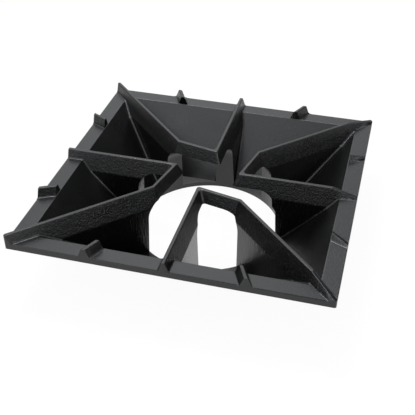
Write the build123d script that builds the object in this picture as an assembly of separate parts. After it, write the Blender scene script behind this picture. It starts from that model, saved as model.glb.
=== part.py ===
from build123d import *
from math import cos, radians, sqrt, tan
import os

# Cast iron top grate of an open-burner range. It is one casting: a square rim, a bowl of
# four sloping walls with a round burner hole in its floor, and four pan ribs that each run
# in from a corner, cross over beside the hole and run back out to the middle of a side.
# Millimetres. The origin is under the middle of the burner hole, on the face that the bowl
# stands on. The front is -Y and the side that pans slide on over is +X.

# Rim
side = 304.8
rim_width = 16.6
rim_thickness = 6.4
corner_radius = 2.0

# Bowl
bowl_depth = 61.0
floor_side = 155.4
wall = 5.0
floor_thickness = 5.0

# Burner hole, and the well above it that is cut out of the webs
hole_diameter = 151.8
well_draft = 3.5
well_round = 19.0

# Ribs
rib_rise = 9.0
rib_land = 3.4
crease_depth = 19.0
crease_width = 17.0
web_draft = 2.4
bar_depth = 12.4
corner_tip = 43.9
middle_tip = 34.2
rib_skin = 4.8
core_roof = 3.0

# Lugs
lug_angle = 26.0
lug_setback = 0.6

# Slide-on side
ramp_length = 24.9
ramp_lip = 1.2

# Roundings of a sand casting
bowl_corner_round = 6.0
rim_inner_round = 1.2
foot_round = 2.2
bend_round = 2.8
land_round = 1.2
crease_round = 6.0
outline_bevel = 0.8

# Levels
rim_top = floor_thickness + bowl_depth
rib_top = rim_top + rib_rise
crease_level = rib_top - crease_depth
bar_bottom = rib_top - bar_depth

# Plan sizes
half_side = side / 2
rim_inside = half_side - rim_width
floor_inside = floor_side / 2
hole_radius = hole_diameter / 2
ramp_start = half_side - ramp_length
past = 20.0
near = 0.01

# Flanks
flank_slope = (crease_width - rib_land) / 2 / crease_depth
web_slope = tan(radians(web_draft))
wall_lean = (rim_inside - floor_inside) / bowl_depth
wall_across = wall * sqrt(1 + wall_lean ** 2)


def rib_half(level):
    """Half of a rib's width at a level."""
    down = rib_top - level
    upper = min(down, crease_depth)
    return rib_land / 2 + flank_slope * upper + web_slope * (down - upper)


def wall_half(level):
    """Half of the bowl's inner width at a level."""
    return floor_inside + (level - floor_thickness) * wall_lean


def reach(edge):
    """How far the middle of an edge lies from the middle of the grate, across or along."""
    return max(abs(edge.center().X), abs(edge.center().Y))


def on_outside(edge):
    """Whether an edge lies in the rim's outer faces."""
    return reach(edge) > half_side - corner_radius / 2


def rises(edge):
    """Whether an edge climbs instead of lying level."""
    return edge.bounding_box().size.Z > near


def four(shape):
    """A shape and its three copies, each a quarter turn on."""
    return [Rot(0, 0, 90 * turn) * shape for turn in range(4)]


def block(low, high):
    """A solid between two level outlines that have as many corners."""
    ring = range(len(low))
    corners = [[low[i - 1], low[i], high[i], high[i - 1]] for i in ring]
    return Solid(Shell([Face(Wire.make_polygon(loop)) for loop in [low, high] + corners]))


def square(half, level):
    """Corners of a level square about the middle of the grate."""
    return [Vector(x * half, y * half, level) for x, y in ((-1, -1), (1, -1), (1, 1), (-1, 1))]


def funnel(low, high, corner):
    """A square funnel with rounded corners. Its ends are pairs of a level and a half width."""
    form = block(square(low[1], low[0]), square(high[1], high[0]))
    return fillet(form.edges().filter_by(rises), corner)


def outer_form():
    """Outside of the rim and the bowl."""
    plan = RectangleRounded(side, side, corner_radius)
    rim = Pos(0, 0, rim_top - rim_thickness) * extrude(plan, rim_thickness)
    level = rim_top - rim_thickness / 2
    low = (0, wall_half(0) + wall_across)
    high = (level, wall_half(level) + wall_across)
    return rim + funnel(low, high, bowl_corner_round + wall)


def above_rim():
    """Room above the rim that the ribs and lugs fill."""
    plan = RectangleRounded(side, side, corner_radius)
    return Pos(0, 0, rim_top - rim_thickness / 2) * extrude(plan, rib_rise + rim_thickness)


def bowl():
    """The rim and the bowl, with the rim's inner edge rounded."""
    low = (floor_thickness, wall_half(floor_thickness))
    high = (rib_top, wall_half(rib_top))
    body = outer_form() - funnel(low, high, bowl_corner_round)
    top = body.edges().group_by(Axis.Z)[-1]
    return fillet(top.filter_by(lambda edge: not on_outside(edge)), rim_inner_round)


def burner_well(grow):
    """Burner hole and the rounded well above it, larger all round by grow."""
    lean = tan(radians(well_draft))
    top = bar_bottom + grow
    foot_radius = hole_radius + grow + floor_thickness * lean
    top_radius = foot_radius - top * lean
    below = past
    profile = Polyline(
        (0, -below),
        (foot_radius + below * lean, -below),
        (top_radius, top),
        (0, top),
        close=True,
    )
    corner = make_face(profile).vertices().group_by(Axis.X)[-2]
    section = fillet(corner, well_round + grow)
    return revolve(Plane.XZ * section, Axis.Z)


def loop_path():
    """Plan path of the front rib: from the right corner to the tips and out to the front."""
    return [
        Vector(half_side + past, -half_side - past),
        Vector(corner_tip, -corner_tip),
        Vector(0, -middle_tip),
        Vector(0, -half_side - past),
    ]


def band(half, level):
    """Outline of the front rib's plan, which reaches half to each side, mitred at the tips."""
    path = loop_path()
    sides = [], []
    for i, point in enumerate(path):
        runs = [(path[j + 1] - path[j]).normalized() for j in (i - 1, i) if 0 <= j < len(path) - 1]
        normals = [Vector(-run.Y, run.X) for run in runs]
        lean = normals[0] + normals[-1]
        shift = lean * (2 * half / lean.dot(lean))
        sides[0].append(point + shift + Vector(0, 0, level))
        sides[1].append(point - shift + Vector(0, 0, level))
    return sides[0] + sides[1][::-1]


def drafted(levels):
    """A drafted rib. Levels are three pairs of a height and a half width, from the top down."""
    upper, middle, lower = [band(half, level) for level, half in levels]
    return block(middle, upper) + block(lower, middle)


def rib():
    """One pan rib, from its top down through its webs to the floor."""
    bar = drafted([(level, rib_half(level)) for level in (rib_top, crease_level, 0)])
    creases = bar.edges().filter_by(lambda edge: abs(edge.center().Z - crease_level) < near)
    bar = fillet(creases, crease_round)
    tips = bar.edges().filter_by(lambda edge: rises(edge) and reach(edge) < half_side)
    bar = fillet(tips, bend_round)
    return fillet(bar.edges().group_by(Axis.Z)[-1], land_round)


def ribbed_bowl():
    """The bowl and rim with four whole ribs, rounded at their feet, bevelled round the outline."""
    base = bowl()
    bars = (Part() + four(rib())) & (outer_form() + above_rim())
    body = base + bars
    joins = new_edges(base, bars, combined=body)
    above_floor = joins.filter_by(lambda edge: edge.center().Z > floor_thickness + near)
    body = fillet(above_floor.filter_by(lambda edge: not on_outside(edge)), foot_round)
    outline = body.edges().filter_by(on_outside).filter_by(Axis.Z, reverse=True)
    upper = outline.filter_by(lambda edge: edge.center().Z > rim_top - rim_thickness / 2)
    return chamfer(upper, outline_bevel)


def cores():
    """Hollows under the webs, which leave a skin of even thickness, open at the bottom."""
    roof_half = core_roof / 2
    roof_level = crease_level + (rib_half(crease_level) - rib_skin - roof_half) / flank_slope
    core = drafted(
        [
            (roof_level, roof_half),
            (crease_level, rib_half(crease_level) - rib_skin),
            (-past, rib_half(-past) - rib_skin),
        ]
    )
    half = rim_inside - wall
    return four(core & (block(square(half, -past), square(half, rib_top)) - burner_well(wall)))


def ramp_height(across):
    """Height of the pan rests above the rim on the slide-on side."""
    along = (across - ramp_start) / (half_side - ramp_start)
    return rib_rise + (ramp_lip - rib_rise) * along


def rest_section(angle, across, height, footed):
    """Section of a pan rest where a ray from the middle of the grate crosses a plane of X."""
    stretch = 1 / cos(radians(angle))
    foot = rib_half(rim_top) * stretch
    crest = rib_land / 2 * stretch
    root = rim_top - rim_thickness / 2
    half = [(foot, root), (foot, rim_top), (crest, rim_top + height)]
    if footed:
        toe = foot + foot_round
        half = [(toe, root), (toe, rim_top)] + half[1:]
    outline = Polyline(*half, *[(-y, z) for y, z in reversed(half)], close=True)
    section = fillet(make_face(outline).vertices().group_by(Axis.Y)[-1], land_round)
    if footed:
        at_rim = section.vertices().group_by(Axis.Y)[1]
        section = fillet(sorted(at_rim, key=lambda corner: abs(corner.X))[:2], foot_round)
    return (Plane.YZ.offset(across) * Pos(across * tan(radians(angle)), 0) * section).face()


def level_lug(angle):
    """A lug of even height on the +X rim."""
    section = rest_section(angle, rim_inside + lug_setback, rib_rise, True)
    return Solid.extrude(section, Vector(1, tan(radians(angle)), 0) * (rim_width - lug_setback))


def ramp(angle, start, footed):
    """A pan rest that slopes down over the +X rim to its outer edge."""
    ends = ((start, ramp_height(start)), (half_side, ramp_lip))
    return loft([rest_section(angle, across, height, footed) for across, height in ends], ruled=True)


def lugs():
    """Two level lugs on each side but +X, between the ribs."""
    pair = level_lug(-lug_angle), level_lug(lug_angle)
    return [Rot(0, 0, 90 * turn) * lug for turn in (1, 2, 3) for lug in pair]


def ramps():
    """Ramped lugs and rib ends on the slide-on side."""
    rib_ends = (-45, 0, 45)
    on_rim = rim_inside + lug_setback
    footed = [ramp(angle, on_rim, True) for angle in (-lug_angle, lug_angle, *rib_ends)]
    return footed + [ramp(angle, ramp_start, False) for angle in rib_ends]


def slide_on_gap():
    """Room over the slide-on side, where the ribs' full-height ends are cut away."""
    width = half_side + past - ramp_start
    middle = ramp_start + width / 2
    box = Box(width, 2 * side, 2 * rib_rise, align=(Align.CENTER, Align.CENTER, Align.MIN))
    return Pos(middle, 0, rim_top) * box


def top_grate():
    """The whole casting."""
    rests = (Part() + lugs() + ramps()) & (outer_form() + above_rim())
    body = ribbed_bowl() - slide_on_gap() + rests
    return body - burner_well(0) - cores()


os.makedirs("parts", exist_ok=True)
grate = top_grate()
grate.label = "top_grate"
export_step(grate, "parts/top_grate.step")
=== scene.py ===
import math

import bpy
from mathutils import Matrix, Vector

# Cast iron range top grate on a wide white floor, seen from the front and a little from the
# right. Metres, in the frame of the casting: +Z up, -Y the front, the bowl's foot on Z = 0.

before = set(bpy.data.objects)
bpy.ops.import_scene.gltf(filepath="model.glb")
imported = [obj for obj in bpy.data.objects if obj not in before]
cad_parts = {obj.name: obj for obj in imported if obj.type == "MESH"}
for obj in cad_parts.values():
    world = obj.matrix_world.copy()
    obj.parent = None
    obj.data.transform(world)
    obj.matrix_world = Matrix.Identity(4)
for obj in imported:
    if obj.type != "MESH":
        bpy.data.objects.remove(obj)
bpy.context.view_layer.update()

WHITE = (1, 1, 1, 1)

# Camera: the point it looks at, and in degrees how far round from the front towards the right
# and how far up it stands. Fitted to the rim's corners and the burner hole. Lens in millimetres.
AIM = Vector((0.013667, -0.052137, 0.066))
AZIMUTH = 15.077
ELEVATION = 36.92
ROLL = -0.113
DISTANCE = 0.76005
LENS = 68.02
SENSOR = 36.0

# Stage: a round floor with a low wall far off, so that low views end in white as well
FLOOR_RADIUS = 12.0
FLOOR_CORNERS = 96
WALL_HEIGHT = 0.7
FLOOR_COLOUR = (0.9, 0.9, 0.9, 1)
FLOOR_ROUGHNESS = 0.9

# Share of plain white in the floor as the camera or a reflection sees it
FLOOR_GLOW = 0.95

# Strength of the faint white light from every side
SURROUND = 0.06

# Soft boxes: azimuth from the front towards the right, elevation, width and height in degrees
# as seen from the casting, and brightness, where 1 is the white of the floor
SOFT_BOXES = {
    "key": (-135, 70, 14, 14, 20),
    "overhead": (-120, 72, 84, 60, 1.65),
    "front_high": (4, 56, 50, 20, 0.9),
    "front_left": (-30, 28, 52, 28, 1.85),
    "front_right": (45, 30, 28, 22, 4.0),
    "right": (90, 32, 30, 24, 1.6),
    "back": (-158, 27, 76, 28, 1.15),
}
BOX_DISTANCE = 2.4

# Their light is slightly cool, as in the photo
BOX_COLOUR = (0.95, 0.975, 1.0)

# Satin black coating, in soft patches that differ a little in shade and in roughness: patches
# per metre, and the part of the noise over which the roughness changes
IRON_DARK = (0.0014, 0.0014, 0.0015, 1)
IRON_PALE = (0.0036, 0.0037, 0.004, 1)
IRON_IOR = 1.5
GLOSSY = 0.27
SATIN = 0.33
PATCH_SCALE = 30
PATCH_DETAIL = 3
PATCH_SPREAD = (0.3, 0.7)

# Steep faces, by the upward part of the normal: fully steep, and no longer so. Their roughness.
STEEP = (0.1, 0.25)
STEEP_GLOSS = 0.22

# Open faces, by the same measure: not yet open, and fully so. How much of the skin they keep.
OPEN = (0.45, 0.65)
OPEN_SKIN = 0.3

# Sand-cast skin, as waves per metre and depth: grains, and on steep faces the upright marks
# that the pattern leaves as it is drawn out of the sand. A depth of 1 is SKIN_HEIGHT.
GRAIN_SCALE = 600
GRAIN_DETAIL = 3
GRAIN_DEPTH = 1.0
DRAW_SCALE = 800
DRAW_DETAIL = 2
DRAW_DEPTH = 0.42
DRAW_STRETCH = (1, 1, 0.1)
SKIN_HEIGHT = 0.0005

# Crests of the skin, painted pale as a highlight: the heights at which that starts and is
# complete
HIGHLIT_CREST = (0.04, 0.2)
IRON_CREST_HIGHLIGHT = (0.02, 0.0203, 0.021, 1)

# Painted highlight on the tight roundings of the edges, found by how far the smooth normal
# leaves the facet's
TIGHT_ROUND = (0.004, 0.015)
IRON_EDGE_HIGHLIGHT = (0.09, 0.09, 0.0935, 1)


def direction(azimuth, elevation):
    """Direction from the casting, in degrees round from the front towards the right, and up."""
    azimuth, elevation = math.radians(azimuth), math.radians(elevation)
    return Vector(
        (
            math.sin(azimuth) * math.cos(elevation),
            -math.cos(azimuth) * math.cos(elevation),
            math.sin(elevation),
        )
    )


def looking(way):
    """Turn of a camera or a lamp that looks a given way."""
    return way.to_track_quat("-Z", "Y")


def set_camera():
    """Camera at the photo's viewing angle."""
    data = bpy.data.cameras.new("camera")
    data.sensor_width = SENSOR
    data.lens = LENS
    camera = bpy.data.objects.new("camera", data)
    bpy.context.collection.objects.link(camera)
    back = direction(AZIMUTH, ELEVATION)
    roll = Matrix.Rotation(math.radians(ROLL), 3, "Z")
    camera.location = AIM + back * DISTANCE
    camera.rotation_euler = (looking(-back).to_matrix() @ roll).to_euler()
    bpy.context.scene.camera = camera


def filled(angle):
    """Size of a soft box that fills an angle as seen from the casting."""
    return 2 * BOX_DISTANCE * math.tan(math.radians(angle / 2))


def hang_soft_box(name, azimuth, elevation, width, height, brightness):
    """A soft box in the given direction, which faces the casting."""
    data = bpy.data.lights.new(name, "AREA")
    data.shape = "RECTANGLE"
    data.color = BOX_COLOUR
    data.size = filled(width)
    data.size_y = filled(height)
    data.energy = brightness * math.pi * data.size * data.size_y
    lamp = bpy.data.objects.new(name, data)
    bpy.context.collection.objects.link(lamp)
    towards = direction(azimuth, elevation)
    lamp.location = towards * BOX_DISTANCE
    lamp.rotation_euler = looking(-towards).to_euler()


def hang_soft_boxes():
    """All the soft boxes round the casting."""
    for name, box in SOFT_BOXES.items():
        hang_soft_box(name, *box)


def feed(tree, node, inputs):
    """Feed a node's inputs, each from another node's output or with a plain value."""
    for name, source in inputs.items():
        if isinstance(source, bpy.types.NodeSocket):
            tree.links.new(source, node.inputs[name])
        else:
            node.inputs[name].default_value = source


def add_node(tree, kind, inputs, **settings):
    """A new node with its settings and what feeds its inputs."""
    node = tree.nodes.new(kind)
    for name, value in settings.items():
        setattr(node, name, value)
    feed(tree, node, inputs)
    return node


def reckon(tree, operation, first, second, clamp=False):
    """A sum or a product of two numbers."""
    inputs = {0: first, 1: second}
    node = add_node(tree, "ShaderNodeMath", inputs, operation=operation, use_clamp=clamp)
    return node.outputs[0]


def rise(tree, value, limits, low=0, high=1):
    """A number that goes from low to high as a value goes between two limits."""
    inputs = {
        "Value": value,
        "From Min": limits[0],
        "From Max": limits[1],
        "To Min": low,
        "To Max": high,
    }
    return add_node(tree, "ShaderNodeMapRange", inputs).outputs[0]


def mixed(tree, share, low, high, kind="FLOAT"):
    """A number or a colour between two others."""
    inputs = {"Factor": share, "A": low, "B": high}
    return add_node(tree, "ShaderNodeMix", inputs, data_type=kind).outputs["Result"]


def noise(tree, place, scale, detail):
    """Soft noise from 0 to 1."""
    inputs = {"Vector": place, "Scale": scale, "Detail": detail}
    return add_node(tree, "ShaderNodeTexNoise", inputs).outputs[0]


def set_world():
    """Faint even light from every side."""
    world = bpy.data.worlds.new("studio")
    bpy.context.scene.world = world
    world.use_nodes = True
    tree = world.node_tree
    feed(tree, tree.nodes["Background"], {"Color": WHITE, "Strength": SURROUND})


def seen_or_mirrored(tree):
    """1 for what the camera, a reflection or clear glass sees, and 0 for light."""
    path = add_node(tree, "ShaderNodeLightPath", {})
    total = path.outputs["Is Camera Ray"]
    for name in ("Is Glossy Ray", "Is Transmission Ray"):
        total = reckon(tree, "ADD", total, path.outputs[name], clamp=True)
    return total


def floor_material():
    """White floor that keeps a faint shadow."""
    material = bpy.data.materials.new("floor")
    material.use_nodes = True
    tree = material.node_tree
    shader = tree.nodes["Principled BSDF"]
    feed(tree, shader, {"Base Color": FLOOR_COLOUR, "Roughness": FLOOR_ROUGHNESS})
    glow = add_node(tree, "ShaderNodeEmission", {"Color": WHITE})
    share = reckon(tree, "MULTIPLY", seen_or_mirrored(tree), FLOOR_GLOW)
    inputs = {"Fac": share, 1: shader.outputs[0], 2: glow.outputs[0]}
    mix = add_node(tree, "ShaderNodeMixShader", inputs)
    feed(tree, tree.nodes["Material Output"], {"Surface": mix.outputs[0]})
    return material


def lay_floor():
    """The floor that the casting stands on, with the wall round it."""
    bpy.ops.object.select_all(action="DESELECT")
    bpy.ops.mesh.primitive_circle_add(
        vertices=FLOOR_CORNERS, radius=FLOOR_RADIUS, fill_type="NGON", location=(0, 0, 0)
    )
    floor = bpy.context.object
    floor.name = "floor"
    bpy.ops.object.mode_set(mode="EDIT")
    bpy.ops.mesh.select_all(action="SELECT")
    bpy.ops.mesh.region_to_loop()
    bpy.ops.mesh.extrude_edges_move(TRANSFORM_OT_translate={"value": (0, 0, WALL_HEIGHT)})
    bpy.ops.object.mode_set(mode="OBJECT")
    floor.data.materials.append(floor_material())


def centred(tree, height, depth):
    """Heights from 0 to 1, made so deep and set evenly about the casting's own face."""
    return rise(tree, height, (0, 1), -depth / 2, depth / 2)


def skin_height(tree, place, upward):
    """Height of the sand-cast skin: grains, draw marks on steep faces, smoother open faces."""
    grains = noise(tree, place, GRAIN_SCALE, GRAIN_DETAIL)
    drawn = add_node(tree, "ShaderNodeMapping", {"Vector": place, "Scale": DRAW_STRETCH})
    marks = noise(tree, drawn.outputs[0], DRAW_SCALE, DRAW_DETAIL)
    upright_skin = centred(tree, marks, DRAW_DEPTH)
    slanted_skin = centred(tree, grains, GRAIN_DEPTH)
    height = mixed(tree, rise(tree, upward, STEEP), upright_skin, slanted_skin)
    return reckon(tree, "MULTIPLY", height, rise(tree, upward, OPEN, 1, OPEN_SKIN))


def edge_highlight_share(tree):
    """Where the edges get a painted highlight: 0 on flat and gently curved faces, and up to 1 on
    the tight roundings of the edges.
    """
    shape = add_node(tree, "ShaderNodeNewGeometry", {})
    normals = {0: shape.outputs["Normal"], 1: shape.outputs["True Normal"]}
    match = add_node(tree, "ShaderNodeVectorMath", normals, operation="DOT_PRODUCT")
    return rise(tree, match.outputs["Value"], [1 - away for away in TIGHT_ROUND])


def iron_material():
    """Satin black coating over sand-cast iron, a little uneven in gloss and shade."""
    material = bpy.data.materials.new("satin_black_iron")
    material.use_nodes = True
    tree = material.node_tree
    coordinates = add_node(tree, "ShaderNodeTexCoord", {})
    place = coordinates.outputs["Object"]
    normal = add_node(tree, "ShaderNodeSeparateXYZ", {"Vector": coordinates.outputs["Normal"]})
    upward = normal.outputs["Z"]
    patches = noise(tree, place, PATCH_SCALE, PATCH_DETAIL)
    skin = skin_height(tree, place, upward)
    coated = mixed(tree, patches, IRON_DARK, IRON_PALE, "RGBA")
    # Painted highlight: the crests of the skin turn paler
    crest_highlighted = mixed(tree, rise(tree, skin, HIGHLIT_CREST), coated, IRON_CREST_HIGHLIGHT, "RGBA")
    # Painted highlight along the tight roundings of the edges
    edge_highlighted = mixed(tree, edge_highlight_share(tree), crest_highlighted, IRON_EDGE_HIGHLIGHT, "RGBA")
    satin = rise(tree, patches, PATCH_SPREAD, GLOSSY, SATIN)
    bump = add_node(tree, "ShaderNodeBump", {"Height": skin, "Distance": SKIN_HEIGHT})
    finish = {
        "Base Color": edge_highlighted,
        "Roughness": rise(tree, upward, STEEP, STEEP_GLOSS, satin),
        "IOR": IRON_IOR,
        "Normal": bump.outputs[0],
    }
    feed(tree, tree.nodes["Principled BSDF"], finish)
    return material


def finish_casting():
    """The casting itself, with its finish."""
    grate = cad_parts["top_grate"]
    iron = iron_material()
    for spot in grate.material_slots:
        spot.material = iron


set_camera()
set_world()
hang_soft_boxes()
lay_floor()
finish_casting()
bpy.context.scene.view_settings.view_transform = "Standard"
